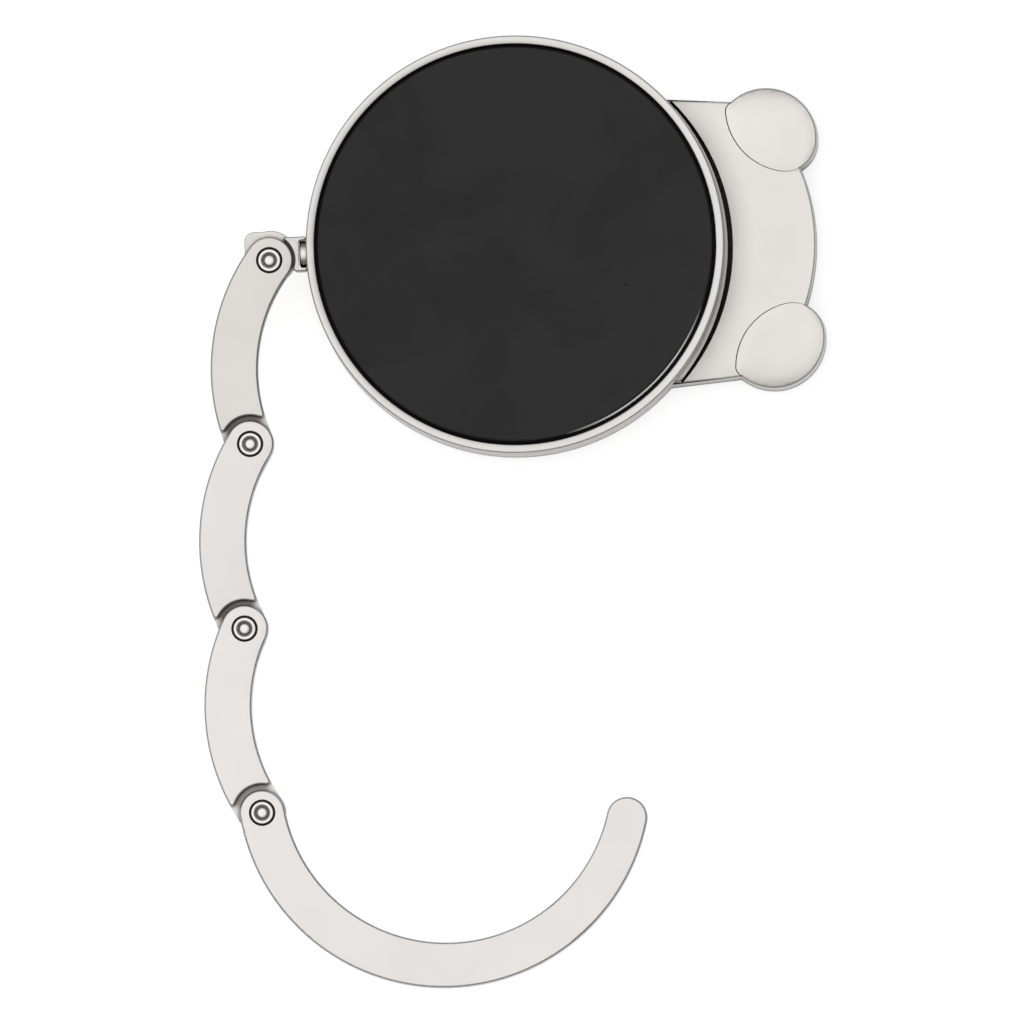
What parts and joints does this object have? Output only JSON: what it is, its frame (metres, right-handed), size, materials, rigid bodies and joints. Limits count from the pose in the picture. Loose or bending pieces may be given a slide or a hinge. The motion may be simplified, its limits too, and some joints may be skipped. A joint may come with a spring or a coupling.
{
  "type": "folding purse hook",
  "caption": "Flat round table-top purse hook with a rubber pad, a head-shaped plate with ears, and a hinged chain of curved links that ends in a hook.",
  "frame": {"origin": "middle of the round body, on its flat front face", "axes": "+Z out of the rubber pad; +X along the body's middle line towards the head-shaped plate; the chain leaves at -X and hangs towards -Y"},
  "size_m": [0.0683, 0.102, 0.0087],
  "materials": {
    "satin_metal": "satin nickel plate on cast zinc alloy",
    "steel": "nickel-plated rivet steel",
    "rubber": "matt black",
    "adhesive": "double-sided adhesive film"
  },
  "bodies": {
    "case": {"front_casting": "satin_metal", "case_body": "satin_metal", "rubber_pad": "rubber", "pad_adhesive": "adhesive", "body_rivets": "steel", "swivel_rivet": "steel", "swivel_washer": "steel"},
    "lug": {"swivel_lug": "satin_metal"},
    "first_link": {"link_1": "satin_metal", "rivet_1": "steel"},
    "second_link": {"link_2": "satin_metal", "rivet_2": "steel"},
    "third_link": {"link_3": "satin_metal", "rivet_3": "steel"},
    "hook": {"hook_arm": "satin_metal", "rivet_4": "steel"}
  },
  "joints": [
    {"name": "swivel", "type": "hinge", "parent": "case", "child": "lug", "pos_m": [-0.0225, 0, 0.00615], "axis": [-1, 0, 0], "continuous": true},
    {"name": "pin_1", "type": "hinge", "parent": "lug", "child": "first_link", "pos_m": [-0.02648, -0.00055, 0.00615], "axis": [0, 0, 1], "range_deg": [-12, 35]},
    {"name": "pin_2", "type": "hinge", "parent": "first_link", "child": "second_link", "pos_m": [-0.02932, -0.02023, 0.00615], "axis": [0, 0, 1], "range_deg": [-12, 38]},
    {"name": "pin_3", "type": "hinge", "parent": "second_link", "child": "third_link", "pos_m": [-0.0307, -0.04006, 0.00615], "axis": [0, 0, 1], "range_deg": [-10, 39]},
    {"name": "pin_4", "type": "hinge", "parent": "third_link", "child": "hook", "pos_m": [-0.02959, -0.05991, 0.00615], "axis": [0, 0, -1], "range_deg": [-28, 12]}
  ]
}
